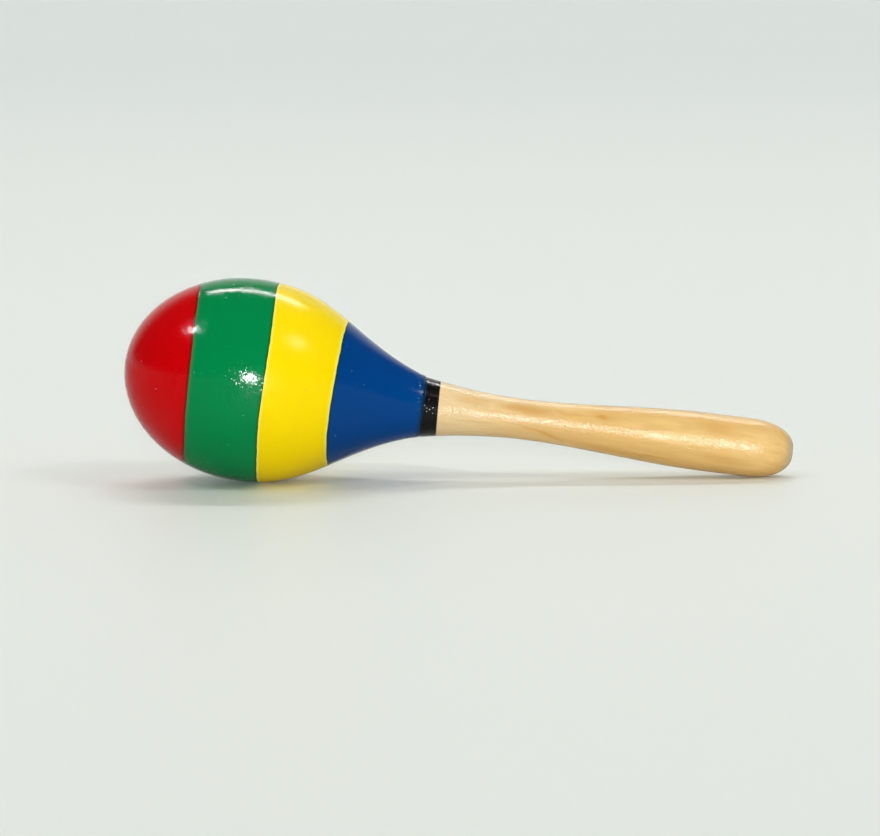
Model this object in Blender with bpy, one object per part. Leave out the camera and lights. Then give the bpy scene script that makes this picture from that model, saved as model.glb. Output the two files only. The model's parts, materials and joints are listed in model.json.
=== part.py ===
"""Painted wooden maraca: a hollow egg-shaped head on a turned handle, lying as it rests on a table.

The head is turned in two halves, hollowed, and glued together at a rabbet. The handle's spigot is
glued into the neck along an axis that leans a little from the head's own, and loose steel shot in
the hollow makes the sound. All sizes are in metres.

Each turned piece is drawn about its local Z axis, crown upwards, with the seat of the handle at
Z = 0. In the world +Z is up, the handle points along +X, and belly and handle both touch Z = 0.
"""

import math

import bmesh
import bpy

# Head, outside.
HEAD_RADIUS = 0.0301            # at the widest ring
CROWN_LENGTH = 0.0371           # crown tip to widest ring
FLANK_LENGTH = 0.0522           # widest ring to neck end
BELLY_REACH = 0.0229            # how far the belly's fullness carries down the flank
NECK_REACH = 0.0249             # how far the neck's slope carries up the flank
NECK_SLOPE = math.radians(17.5)
NECK_RADIUS = 0.0090            # head and handle are flush here

# Head, inside.
CROWN_WALL = 0.0050
SIDE_WALL = 0.0045
HOLLOW_DEPTH = 0.0280           # widest ring to the bottom of the hollow in the neck

# Rabbet between the two halves: a lip on the crown half in a step of the neck half.
LIP_LENGTH = 0.0040
LIP_THICKNESS = 0.0020

# Paint bands, from the crown tip down. The halves part where green meets yellow.
RED_BAND = 0.0205
GREEN_BAND = 0.0223
YELLOW_BAND = 0.0210
BLACK_BAND = 0.0046             # on the handle, below its seat

# Handle, measured from its seat.
HANDLE_LENGTH = 0.1108
HANDLE_LEAN = math.radians(1.8)
SHOULDER_SLOPE = math.radians(10.5)
WAIST_DISTANCE = 0.0301
WAIST_RADIUS = 0.0060
SWELL_DISTANCE = 0.0849
SWELL_RADIUS = 0.0087
BUTT_DISTANCE = 0.0966          # where the end starts to round off
BUTT_SQUARENESS = 2.36          # 2 would be an ellipse, more is blunter
BUTT_FLAT_RADIUS = 0.0025
SPIGOT_RADIUS = 0.0045
SPIGOT_CHAMFER = 0.0010
SPIGOT_SETBACK = 0.0022         # the spigot stops this far short of the hollow

# Steel shot: one layer of rows, each half a pitch out of step with the next.
PELLET_RADIUS = 0.00225
PELLET_ROWS = (4, 5, 6, 5, 4)
PELLET_SPACING = 0.0005         # least room between two pellets
PELLET_CLEARANCE = 0.0003       # between a pellet and the wall at either end of its stroke

# Fits and cuts.
GLUE_GAP = 0.0003
NECK_TRIM = 0.0010              # turned too long by this, then faced off square to the handle
CUT_OVERRUN = 0.0020

# Round pieces are flat-sided: a radius is measured to the flats, one of which faces down.
FLATS = 32
CORNER = 1.0 / math.cos(math.pi / FLATS)
FLAT_DOWN = math.pi / FLATS

# Colour, roughness and metallic value of each finish.
FINISHES = {
    "red_enamel": ((0.60, 0.005, 0.010), 0.15, 0.0),
    "green_enamel": ((0.003, 0.23, 0.065), 0.15, 0.0),
    "yellow_enamel": ((0.98, 0.74, 0.003), 0.15, 0.0),
    "blue_enamel": ((0.002, 0.055, 0.25), 0.15, 0.0),
    "black_enamel": ((0.006, 0.006, 0.006), 0.15, 0.0),
    "lacquered_wood": ((0.78, 0.51, 0.22), 0.25, 0.0),
    "bare_wood": ((0.72, 0.55, 0.34), 0.70, 0.0),
    "steel": ((0.55, 0.55, 0.56), 0.30, 1.0),
}

WIDEST = FLANK_LENGTH
CROWN_TIP = FLANK_LENGTH + CROWN_LENGTH
HOLLOW_RADIUS = HEAD_RADIUS - SIDE_WALL
HOLLOW_BOTTOM = FLANK_LENGTH - HOLLOW_DEPTH
RED_EDGE = CROWN_TIP - RED_BAND
PARTING = RED_EDGE - GREEN_BAND
YELLOW_EDGE = PARTING - YELLOW_BAND
LIP_END = PARTING - LIP_LENGTH


def clear_scene():
    for item in list(bpy.data.objects):
        bpy.data.objects.remove(item, do_unlink=True)


def finish(name):
    """The material of that name, made when it is first asked for."""
    known = bpy.data.materials.get(name)
    if known:
        return known
    colour, roughness, metallic = FINISHES[name]
    material = bpy.data.materials.new(name)
    material.use_nodes = True
    shader = material.node_tree.nodes["Principled BSDF"]
    shader.inputs["Base Color"].default_value = (*colour, 1.0)
    shader.inputs["Roughness"].default_value = roughness
    shader.inputs["Metallic"].default_value = metallic
    material.diffuse_color = (*colour, 1.0)
    return material


def blend(low, high, count):
    """Evenly spaced values from low to high, both included."""
    return [low + (high - low) * step / count for step in range(count + 1)]


def half_egg(station, radius, crown_depth, neck_depth):
    """Two half ellipses end to end: station 0 is the crown pole, 1 the widest ring, 2 the neck pole."""
    angle = station * math.pi / 2
    depth = crown_depth if station < 1 else neck_depth
    return radius * math.sin(angle), WIDEST + depth * math.cos(angle)


def hollow_point(station):
    return half_egg(station, HOLLOW_RADIUS, CROWN_LENGTH - CROWN_WALL, HOLLOW_DEPTH)


def outer_point(station):
    """Outside of the head: an elliptical crown from station 0 to 1, then the flank's S-curve to 2."""
    if station < 1:
        return half_egg(station, HEAD_RADIUS, CROWN_LENGTH, FLANK_LENGTH)
    t = station - 1
    weights = ((1 - t) ** 3, 3 * t * (1 - t) ** 2, 3 * t * t * (1 - t), t ** 3)
    controls = (
        (HEAD_RADIUS, WIDEST),
        (HEAD_RADIUS, WIDEST - BELLY_REACH),
        (NECK_RADIUS + NECK_REACH * math.sin(NECK_SLOPE), NECK_REACH * math.cos(NECK_SLOPE)),
        (NECK_RADIUS, 0.0),
    )
    radius = sum(weight * control[0] for weight, control in zip(weights, controls))
    height = sum(weight * control[1] for weight, control in zip(weights, controls))
    return radius, height


def station_at(curve, height):
    """Where a curve that runs from crown to neck passes a height, by halving."""
    low, high = 0.0, 2.0
    for _ in range(50):
        middle = (low + high) / 2
        if curve(middle)[1] > height:
            low = middle
        else:
            high = middle
    return (low + high) / 2


def run(curve, start, end, count):
    return [curve(station) for station in blend(start, end, count)]


def ease(start, end, start_slope, count):
    """A smooth stretch of handle between two (radius, distance) points, level at its far end."""
    length = end[1] - start[1]
    points = []
    for u in blend(0.0, 1.0, count):
        rise = 3 * u ** 2 - 2 * u ** 3
        lean = (u ** 3 - 2 * u ** 2 + u) * length * start_slope
        points.append((start[0] + (end[0] - start[0]) * rise + lean, start[1] + length * u))
    return points


def butt_points(count):
    """The blunt end of the handle, out to the rim of its small flat."""
    length = HANDLE_LENGTH - BUTT_DISTANCE
    power = 2 / BUTT_SQUARENESS
    flat_angle = math.acos((BUTT_FLAT_RADIUS / SWELL_RADIUS) ** (1 / power))
    points = []
    for angle in blend(0.0, flat_angle, count):
        radius = SWELL_RADIUS * math.cos(angle) ** power
        reach = math.sin(angle) ** power / math.sin(flat_angle) ** power
        points.append((radius, BUTT_DISTANCE + length * reach))
    return points


def handle_points():
    """The bare handle from below the black band to the butt's flat, as (radius, distance) points."""
    waist = (WAIST_RADIUS, WAIST_DISTANCE)
    swell = (SWELL_RADIUS, SWELL_DISTANCE)
    shoulder = ease((NECK_RADIUS, 0.0), waist, -math.tan(SHOULDER_SLOPE), 12)
    grip = ease(waist, swell, 0.0, 10)
    return shoulder + grip[1:] + butt_points(9)


def band_split(points, distance):
    """Part a run of handle points at a distance, with a shared point on the edge itself."""
    before = [point for point in points if point[1] < distance]
    after = [point for point in points if point[1] > distance]
    share = (distance - before[-1][1]) / (after[0][1] - before[-1][1])
    edge = (before[-1][0] + (after[0][0] - before[-1][0]) * share, distance)
    return before + [edge], [edge] + after


def turn(name, parent, stretches):
    """Spin a profile about local Z. Each stretch of it is a finish and its (radius, height) points."""
    shape = bmesh.new()
    mesh = bpy.data.meshes.new(name)
    for slot, (finish_name, points) in enumerate(stretches):
        mesh.materials.append(finish(finish_name))
        corners = [shape.verts.new((radius * CORNER, 0.0, height)) for radius, height in points]
        edges = [shape.edges.new(pair) for pair in zip(corners, corners[1:])]
        earlier = set(shape.faces)
        bmesh.ops.spin(shape, geom=corners + edges, cent=(0, 0, 0), axis=(0, 0, 1),
                       angle=2 * math.pi, steps=FLATS)
        for face in shape.faces:
            if face not in earlier:
                face.material_index = slot
    bmesh.ops.remove_doubles(shape, verts=shape.verts, dist=1e-6)
    bmesh.ops.recalc_face_normals(shape, faces=shape.faces)
    shape.to_mesh(mesh)
    shape.free()
    mesh.shade_smooth()
    mesh.set_sharp_from_angle(angle=math.radians(30))
    piece = bpy.data.objects.new(name, mesh)
    piece.parent = parent
    piece.rotation_euler.z = FLAT_DOWN
    bpy.context.scene.collection.objects.link(piece)
    return piece


def resting_pose():
    """Tilt of the handle and place of its seat when belly and handle lie on the floor, centred in X."""
    head = run(outer_point, 0.0, 2.0, 200)
    handle = [(radius, -distance) for radius, distance in handle_points()]

    def lowest(points, tilt):
        return min(height * math.sin(tilt) - radius * math.cos(tilt) for radius, height in points)

    low, high = -math.pi / 4, math.pi / 4
    for _ in range(50):
        tilt = (low + high) / 2
        if lowest(head, tilt + HANDLE_LEAN) > lowest(handle, tilt):
            high = tilt
        else:
            low = tilt
    crown_end = min(-radius * math.sin(tilt + HANDLE_LEAN) - height * math.cos(tilt + HANDLE_LEAN)
                    for radius, height in head)
    butt_end = max(radius * math.sin(tilt) - height * math.cos(tilt) for radius, height in handle)
    return tilt, (-(crown_end + butt_end) / 2, 0.0, -lowest(handle, tilt))


def axis_empty(name, parent=None):
    empty = bpy.data.objects.new(name, None)
    empty.parent = parent
    bpy.context.scene.collection.objects.link(empty)
    return empty


def make_crown_shell(head_axis):
    """Upper half of the head, red and green, with the lip that locates it in the neck half."""
    edge_red = station_at(outer_point, RED_EDGE)
    edge_green = station_at(outer_point, PARTING)
    lip_radius = hollow_point(station_at(hollow_point, PARTING))[0] + LIP_THICKNESS
    inside = run(hollow_point, station_at(hollow_point, LIP_END), 0.0, 11)
    green = run(outer_point, edge_red, edge_green, 6)
    rim = [green[-1], (lip_radius, PARTING), (lip_radius, LIP_END), inside[0]]
    return turn("crown_shell", head_axis, [
        ("red_enamel", run(outer_point, 0.0, edge_red, 6)),
        ("green_enamel", green),
        ("bare_wood", rim + inside[1:]),
    ])


def make_neck_shell(head_axis, handle_axis):
    """Lower half of the head, yellow and blue, bored and faced along the handle's axis."""
    top = PARTING - GLUE_GAP
    step_floor = LIP_END - GLUE_GAP
    step_radius = hollow_point(station_at(hollow_point, PARTING))[0] + LIP_THICKNESS + GLUE_GAP
    edge_yellow = station_at(outer_point, YELLOW_EDGE)
    yellow = run(outer_point, station_at(outer_point, top), edge_yellow, 6)
    trim_radius = NECK_RADIUS - NECK_TRIM * math.tan(NECK_SLOPE)
    neck_end = (trim_radius, -NECK_TRIM)
    blue = run(outer_point, edge_yellow, 2.0, 10)[:-1] + [neck_end]
    inside = run(hollow_point, 2.0, station_at(hollow_point, step_floor), 8)
    rim = [(step_radius, step_floor), (step_radius, top), yellow[0]]
    shell = turn("neck_shell", head_axis, [
        ("bare_wood", inside + rim),
        ("yellow_enamel", yellow),
        ("blue_enamel", blue),
        ("bare_wood", [neck_end, (0.0, -NECK_TRIM)]),
    ])
    bore_radius = SPIGOT_RADIUS + GLUE_GAP
    bore_top = HOLLOW_BOTTOM + CUT_OVERRUN
    face_radius = NECK_RADIUS + CUT_OVERRUN
    face_bottom = -NECK_TRIM - CUT_OVERRUN
    cutter = turn("neck_bore_cutter", handle_axis, [
        ("bare_wood", [(0.0, bore_top), (bore_radius, bore_top), (bore_radius, 0.0), (face_radius, 0.0),
                       (face_radius, face_bottom), (0.0, face_bottom)]),
    ])
    cutter.hide_render = True
    cutter.display_type = "WIRE"
    bore = shell.modifiers.new("bore_and_face", "BOOLEAN")
    bore.operation = "DIFFERENCE"
    bore.solver = "EXACT"
    bore.object = cutter
    return shell


def make_handle(handle_axis):
    """Waisted handle with its spigot, black next to the head and lacquered below."""
    tip = HOLLOW_BOTTOM - SPIGOT_SETBACK
    seat = -GLUE_GAP
    black, bare = band_split(handle_points(), BLACK_BAND)
    black = [(black[0][0], -seat)] + black[1:]
    spigot = [(0.0, tip), (SPIGOT_RADIUS - SPIGOT_CHAMFER, tip), (SPIGOT_RADIUS, tip - SPIGOT_CHAMFER),
              (SPIGOT_RADIUS, seat), (NECK_RADIUS, seat)]
    return turn("handle", handle_axis, [
        ("bare_wood", spigot),
        ("black_enamel", [(radius, -distance) for radius, distance in black]),
        ("lacquered_wood", [(radius, -distance) for radius, distance in bare] + [(0.0, -HANDLE_LENGTH)]),
    ])


def pellet_places(head_tilt):
    """Centres of the shot, pooled where the tilted hollow is lowest, in the head's own axes."""
    inset = PELLET_RADIUS + PELLET_CLEARANCE
    radius = HOLLOW_RADIUS - inset
    crown_depth = CROWN_LENGTH - CROWN_WALL - inset
    neck_depth = HOLLOW_DEPTH - inset
    lowest = math.atan2(neck_depth * math.sin(head_tilt), radius * math.cos(head_tilt))
    middle = WIDEST - neck_depth * math.sin(lowest)
    pitch = 2 * PELLET_RADIUS + PELLET_SPACING
    row_pitch = pitch * math.sqrt(3) / 2

    def centre_curve(station):
        return half_egg(station, radius, crown_depth, neck_depth)

    places = []
    for row, count in enumerate(PELLET_ROWS):
        side = (row - (len(PELLET_ROWS) - 1) / 2) * row_pitch
        for place in range(count):
            height = middle + (place - (count - 1) / 2) * pitch
            reach = centre_curve(station_at(centre_curve, height))[0]
            places.append((-math.sqrt(reach ** 2 - side ** 2), side, height))
    return places


def make_pellets(head_axis, head_tilt):
    """Loose shot. Each ball can be thrown straight across the hollow, to the wall above it."""
    shape = bmesh.new()
    bmesh.ops.create_icosphere(shape, subdivisions=2, radius=PELLET_RADIUS)
    mesh = bpy.data.meshes.new("pellet")
    shape.to_mesh(mesh)
    shape.free()
    mesh.shade_smooth()
    mesh.materials.append(finish("steel"))
    for number, place in enumerate(pellet_places(head_tilt), start=1):
        pellet = bpy.data.objects.new(f"pellet_{number:02d}", mesh)
        pellet.parent = head_axis
        pellet.location = place
        bpy.context.scene.collection.objects.link(pellet)


def main():
    clear_scene()
    tilt, seat = resting_pose()
    handle_axis = axis_empty("handle_axis")
    handle_axis.location = seat
    handle_axis.rotation_euler.y = tilt - math.pi / 2
    head_axis = axis_empty("head_axis", handle_axis)
    head_axis.rotation_euler.y = HANDLE_LEAN
    make_crown_shell(head_axis)
    make_neck_shell(head_axis, handle_axis)
    make_handle(handle_axis)
    make_pellets(head_axis, tilt + HANDLE_LEAN)


main()
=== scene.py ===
# %% [markdown]
# # A painted wooden maraca
#
# This lesson dresses a maraca: an egg-shaped wooden head in four enamel colours, on a lacquered
# handle with a black band. A working model of it is loaded first and never moved. The lesson then
# turns finer pieces on the same axes, as on a lathe, and gives them paint, lacquer and steel.
# All sizes are in metres.

# %% Load the working model
import json
import math
from functools import lru_cache

import bpy
from mathutils import Matrix, Vector


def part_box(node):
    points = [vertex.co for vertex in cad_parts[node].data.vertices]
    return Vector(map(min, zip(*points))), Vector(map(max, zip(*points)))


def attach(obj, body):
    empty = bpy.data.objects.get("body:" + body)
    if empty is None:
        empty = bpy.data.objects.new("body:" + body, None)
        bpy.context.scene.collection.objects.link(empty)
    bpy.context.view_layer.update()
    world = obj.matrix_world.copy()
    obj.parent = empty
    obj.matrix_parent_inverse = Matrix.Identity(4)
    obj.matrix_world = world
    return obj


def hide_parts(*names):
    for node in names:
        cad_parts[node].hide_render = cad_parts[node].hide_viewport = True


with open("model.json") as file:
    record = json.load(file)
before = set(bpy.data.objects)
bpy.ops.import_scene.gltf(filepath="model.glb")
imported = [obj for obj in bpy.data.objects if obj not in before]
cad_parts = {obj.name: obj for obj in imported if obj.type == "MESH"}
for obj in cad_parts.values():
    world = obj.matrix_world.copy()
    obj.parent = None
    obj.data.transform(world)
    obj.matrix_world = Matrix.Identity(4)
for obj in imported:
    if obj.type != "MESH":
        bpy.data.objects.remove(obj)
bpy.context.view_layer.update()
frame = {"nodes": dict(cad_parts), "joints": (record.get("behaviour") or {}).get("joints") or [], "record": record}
bpy.context.scene.view_settings.view_transform = "Standard"

# %% [markdown]
# ## Two axes from the model
#
# The handle isn't glued in quite straight, so head and handle are turned on two axes that cross at
# the handle's seat. The angles could be typed in again, but then they could drift from the model.
# Here the flat on the butt gives the handle's axis, and the direction in which the shot is thrown
# gives the head's, so the new pieces always sit where the model has them.

# %% Find the axes
HANDLE_LENGTH = 0.1108
SIDEWAYS = Vector((0.0, 1.0, 0.0))


def lathe_axis(along, seat):
    """A frame whose Z runs along the axis towards the crown, with X as its upper side."""
    across = SIDEWAYS.cross(along).normalized()
    return Matrix.Translation(seat) @ Matrix((across, SIDEWAYS, along)).transposed().to_4x4()


butt_face = next(mount for mount in frame["record"]["mounts"] if mount["name"] == "butt_face")
handle_along = -Vector(butt_face["axis"])
head_along = Vector(frame["joints"][0]["axis"]).cross(SIDEWAYS)
seat = Vector(butt_face["pos_m"]) + handle_along * HANDLE_LENGTH
handle_axis = lathe_axis(handle_along, seat)
head_axis = lathe_axis(head_along, seat)
print("seat in mm:", [round(1000 * part, 2) for part in seat])
print("lean between the axes in degrees:", round(math.degrees(handle_along.angle(head_along)), 2))

# %% [markdown]
# ## The camera
#
# A long lens from a little above shows the maraca from the side, almost without perspective. The
# roll is the small tilt with which the camera was held. A camera could be aimed with a constraint,
# but a plain rotation is easier to read and holds still.

# %% Set the camera
LENS = 192.3                    # millimetres on a 36 mm sensor
VIEW_DOWN = math.radians(7.0)
VIEW_ROLL = math.radians(-0.53)
VIEW_DISTANCE = 1.3976
VIEW_AIM = Vector((-0.0057, 0.0, 0.01846))

towards_camera = Vector((0.0, -math.cos(VIEW_DOWN), math.sin(VIEW_DOWN)))
level_turn = Matrix.Rotation(math.pi / 2 - VIEW_DOWN, 4, "X")
bpy.ops.object.camera_add()
camera = bpy.context.object
camera.data.lens = LENS
camera.matrix_world = (Matrix.Translation(VIEW_AIM + towards_camera * VIEW_DISTANCE)
                       @ level_turn @ Matrix.Rotation(VIEW_ROLL, 4, "Z"))
bpy.context.scene.camera = camera
print("camera at", [round(part, 3) for part in camera.location])

# %% [markdown]
# ## Small helpers for node trees
#
# A finish is a tree of nodes, and most of it is arithmetic. Each node could be made and linked by
# itself, as in the shader editor, but then every sum would take five lines. These helpers add a node,
# feed its sockets with numbers or links and hand back its output, so that a tree reads like a formula.

# %% Sums and ramps
def feed(tree, socket, value):
    """Link another socket into this one, or set its number or colour."""
    if isinstance(value, bpy.types.NodeSocket):
        tree.links.new(value, socket)
    else:
        socket.default_value = value


def calc(tree, operation, *values):
    sum_node = tree.nodes.new("ShaderNodeMath")
    sum_node.operation = operation
    for socket, value in zip(sum_node.inputs, values):
        feed(tree, socket, value)
    return sum_node.outputs[0]


def ramp(tree, value, low, high, start=0.0, end=1.0):
    """A smooth change from start to end while the value goes from low to high."""
    slope = tree.nodes.new("ShaderNodeMapRange")
    slope.interpolation_type = "SMOOTHSTEP"
    for socket, number in zip(slope.inputs, (value, low, high, start, end)):
        feed(tree, socket, number)
    return slope.outputs["Result"]


def fall(tree, value, low, high):
    """A smooth fall from 1 to 0 while the value goes from low to high."""
    return ramp(tree, value, low, high, 1.0, 0.0)


print("sums and ramps are ready")

# %% Mixes
MIX_SOCKETS = {"FLOAT": (2, 3, 0), "RGBA": (6, 7, 2)}   # where a Mix node has A, B and Result


def mix(tree, kind, share, first, second):
    mixer = tree.nodes.new("ShaderNodeMix")
    mixer.data_type = kind
    first_place, second_place, result_place = MIX_SOCKETS[kind]
    feed(tree, mixer.inputs[0], share)
    feed(tree, mixer.inputs[first_place], first)
    feed(tree, mixer.inputs[second_place], second)
    return mixer.outputs[result_place]


def mix_values(tree, share, first, second):
    return mix(tree, "FLOAT", share, first, second)


def mix_colours(tree, share, first, second):
    return mix(tree, "RGBA", share, first, second)


print("mixes are ready")

# %% Noise and vectors
def noise(tree, vector, scale, detail=2.0):
    """A soft random value about one half, from 0 to 1."""
    cloud = tree.nodes.new("ShaderNodeTexNoise")
    feed(tree, cloud.inputs["Vector"], vector)
    feed(tree, cloud.inputs["Scale"], scale)
    feed(tree, cloud.inputs["Detail"], detail)
    return cloud.outputs["Fac"]


def split(tree, vector):
    parts = tree.nodes.new("ShaderNodeSeparateXYZ")
    feed(tree, parts.inputs[0], vector)
    return parts.outputs


def join(tree, x, y, z):
    whole = tree.nodes.new("ShaderNodeCombineXYZ")
    for socket, value in zip(whole.inputs, (x, y, z)):
        feed(tree, socket, value)
    return whole.outputs[0]


def from_middle(tree, vector):
    """How far a place is from the point where its coordinates are zero."""
    length = tree.nodes.new("ShaderNodeVectorMath")
    length.operation = "LENGTH"
    feed(tree, length.inputs[0], vector)
    return length.outputs["Value"]


def from_axis(tree, x, y):
    """How far a place is from the line where x and y are zero."""
    squares = calc(tree, "ADD", calc(tree, "MULTIPLY", x, x), calc(tree, "MULTIPLY", y, y))
    return calc(tree, "SQRT", squares)


def shaded(tree, colour, factor):
    """A colour made darker or lighter by a factor."""
    shade = tree.nodes.new("ShaderNodeVectorMath")
    shade.operation = "SCALE"
    feed(tree, shade.inputs[0], colour)
    feed(tree, shade.inputs["Scale"], factor)
    return shade.outputs[0]


print("noise and vectors are ready")

# %% [markdown]
# ## The table
#
# The maraca lies on a broad pale sheet. A curved sweep of paper could be modelled, but one plane is
# enough, so large that its edge looks like a far horizon. The sheet has a slight sheen, so the paint
# colours show faintly under the belly. A white sheet throws a lot of light back up, and the underside
# of the head would lose its shade. So the sheet is a little darker to the light that bounces off it
# than to the camera and to reflections. Far from the maraca its colour is a little darker: a pool of
# light is painted onto the sheet, falling off as it does at the edge of a real pool of light.

# %% Lay the table
TABLE_SIZE = 40.0

bpy.ops.object.select_all(action="DESELECT")
bpy.ops.mesh.primitive_plane_add(size=TABLE_SIZE)
table = bpy.context.object
table.name = "table"
print("table", TABLE_SIZE, "m square")

# %% Colour the table
TABLE_COLOUR = (0.905, 0.948, 0.888, 1.0)
# painted shade: the sheet's colour far out, the dim edge of a pool of light painted on
TABLE_FAR_PAINTED_SHADE = (0.742, 0.797, 0.767, 1.0)
TABLE_BOUNCE = (0.500, 0.498, 0.465, 1.0)
POOL_REACH = 3.0                # how far out the tone has fallen


def new_finish(name, roughness, ior):
    """A new material, its node tree, and its shader with two plain values set."""
    finish = bpy.data.materials.new(name)
    finish.use_nodes = True
    shader = finish.node_tree.nodes["Principled BSDF"]
    shader.inputs["Roughness"].default_value = roughness
    shader.inputs["IOR"].default_value = ior
    return finish, finish.node_tree, shader


paper, tree, shader = new_finish("table_paper", roughness=0.50, ior=1.22)
rays = tree.nodes.new("ShaderNodeLightPath").outputs
mirrored = calc(tree, "MAXIMUM", rays["Is Glossy Ray"], rays["Is Transmission Ray"])
seen = calc(tree, "MAXIMUM", rays["Is Camera Ray"], mirrored)
away = from_middle(tree, tree.nodes.new("ShaderNodeTexCoord").outputs["Object"])
# painted pool of light: the colour darkens with the distance from the maraca
sheet = mix_colours(tree, ramp(tree, away, 0.0, POOL_REACH), TABLE_COLOUR, TABLE_FAR_PAINTED_SHADE)
feed(tree, shader.inputs["Base Color"], mix_colours(tree, seen, TABLE_BOUNCE, sheet))
table.data.materials.append(paper)
print("made", paper.name)

# %% [markdown]
# ## The sky
#
# The paint is glossy, so it mirrors the whole room. In the photograph the room is dark, except for a
# pale backdrop behind the maraca, which shows as a soft rim along the top of the head. The sky is
# painted by direction in the same way, with a thin pale band round the horizon. Seen straight on, in
# low views, it has about the tone of the far table, so the horizon is only a faint line. An image of a
# room could be used too, but this has only what the picture needs.

# %% Paint the sky
SKY_PALE = (0.96, 0.98, 0.95, 1.0)
SKY_DARK = (0.10, 0.10, 0.10, 1.0)
SKY_SEEN = (0.62, 0.66, 0.64, 1.0)
BACKDROP_SIDES = (0.58, 0.85)   # how far to the back a direction points where the backdrop begins
BACKDROP_TOP = (0.45, 0.75)     # how far up it points where the backdrop ends
HORIZON_TOP = (0.06, 0.14)      # how far up it points where the band round the horizon ends

sky = bpy.data.worlds.new("studio")
sky.use_nodes = True
bpy.context.scene.world = sky
tree = sky.node_tree
_, look_y, look_z = split(tree, tree.nodes.new("ShaderNodeTexCoord").outputs["Generated"])
behind = ramp(tree, look_y, *BACKDROP_SIDES)
backdrop = calc(tree, "MULTIPLY", behind, fall(tree, look_z, *BACKDROP_TOP))
pale = calc(tree, "MAXIMUM", backdrop, fall(tree, look_z, *HORIZON_TOP))
room = mix_colours(tree, pale, SKY_DARK, SKY_PALE)
seen = tree.nodes.new("ShaderNodeLightPath").outputs["Is Camera Ray"]
feed(tree, tree.nodes["Background"].inputs["Color"], mix_colours(tree, seen, room, SKY_SEEN))
print("made", sky.name)

# %% [markdown]
# ## The lamps
#
# Four lamps are mirrored in the paint: one by the camera, a small one high on the left, a soft box high
# on the right, and a long strip light behind, which draws the bright arc on the head and the shadow in
# front of it. A wide fill overhead, which isn't mirrored, softens the shadows. Lamps close by would
# light the far table less than the near one, so they are suns of the right width, and the strip is far
# away. In a photograph the mirror image of a lamp is far brighter than white and breaks into sparks on
# the bumps of the paint. More light would bleach the colours, so each of the four is a pair: one gives
# the light and the other the mirror image. The strip's two hang a little apart, because area lamps in
# the same place would hide each other.

# %% Hang the lamps
LAMPS = {                       # direction, width in degrees, light, shine in reflections
    "camera_lamp": ((0.03, -0.987, 0.155), 8.3, 1.85, 5.6),
    "left_lamp": ((-0.55, -0.22, 0.805), 2.0, 0.30, 2.5),
    "right_soft_box": ((0.587, -0.364, 0.726), 11.0, 0.38, 0.75),
    "overhead_fill": ((0.0, 0.1, 1.0), 140.0, 0.70, 0.0),
}


def facing(direction):
    """The turn of a lamp that shines from a direction onto the maraca."""
    return Vector(direction).to_track_quat("Z", "Y").to_euler()


def add_sun(name, direction, width, strength):
    bpy.ops.object.light_add(type="SUN", rotation=facing(direction))
    lamp = bpy.context.object
    lamp.name = name
    lamp.data.angle = math.radians(width)
    lamp.data.energy = strength
    return lamp


for name, (direction, width, light, shine) in LAMPS.items():
    add_sun(name, direction, width, light).visible_glossy = False
    if shine:
        add_sun(name + "_shine", direction, width, shine).visible_diffuse = False
print("lamps:", ", ".join(LAMPS))

# %% Hang the strip light
STRIPS = {                      # direction, light, shine in reflections
    "strip_light": ((0.05, 0.50, 0.866), 330.0, 0.0),
    "strip_light_shine": ((0.08, 0.616, 0.788), 0.0, 900.0),
}
STRIP_DISTANCE = 12.0
STRIP_SIZE = (8.0, 0.27)

for name, (direction, light, shine) in STRIPS.items():
    place = Vector(direction) * STRIP_DISTANCE
    bpy.ops.object.light_add(type="AREA", location=place, rotation=facing(direction))
    strip = bpy.context.object
    strip.name = name
    strip.data.shape = "RECTANGLE"
    strip.data.size, strip.data.size_y = STRIP_SIZE
    strip.data.energy = light + shine
    strip.visible_diffuse = light > 0
    strip.visible_glossy = shine > 0
print("strip light", STRIP_DISTANCE, "m away")

# %% [markdown]
# ## The outlines
#
# A turned piece is an outline spun about an axis. The head's crown is half an ellipse, its flank one
# long S-curve, and its hollow two half ellipses. The handle narrows to a waist, swells to a grip and
# ends in a blunt, nearly round butt. A list of measured points could draw all this too, but a few
# sizes and a formula give a smoother curve and can be changed.

# %% Sizes of the head
HEAD_RADIUS = 0.0301
CROWN_LENGTH = 0.0371           # crown tip to the widest ring
WIDEST = 0.0522                 # widest ring above the seat
BELLY_REACH = 0.0229            # how long the flank keeps the belly's direction
NECK_REACH = 0.0249             # and how long the neck's
NECK_SLOPE = math.radians(17.5)
NECK_RADIUS = 0.0090
CROWN_WALL = 0.0050
SIDE_WALL = 0.0045
HOLLOW_DEPTH = 0.0280           # widest ring to the bottom of the hollow
PARTING = 0.0465                # where the two halves of the head meet
HOLLOW_RADIUS = HEAD_RADIUS - SIDE_WALL
HOLLOW_BOTTOM = WIDEST - HOLLOW_DEPTH
print("head and hollow across in mm:", round(2000 * HEAD_RADIUS, 1), round(2000 * HOLLOW_RADIUS, 1))

# %% Outline of the head
HALVINGS = 50


def half_egg(station, radius, crown_depth, neck_depth):
    """Station 0 is the crown pole, 1 the widest ring and 2 the neck pole."""
    angle = station * math.pi / 2
    depth = crown_depth if station < 1 else neck_depth
    return radius * math.sin(angle), WIDEST + depth * math.cos(angle)


def hollow(station):
    return half_egg(station, HOLLOW_RADIUS, CROWN_LENGTH - CROWN_WALL, HOLLOW_DEPTH)


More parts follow.
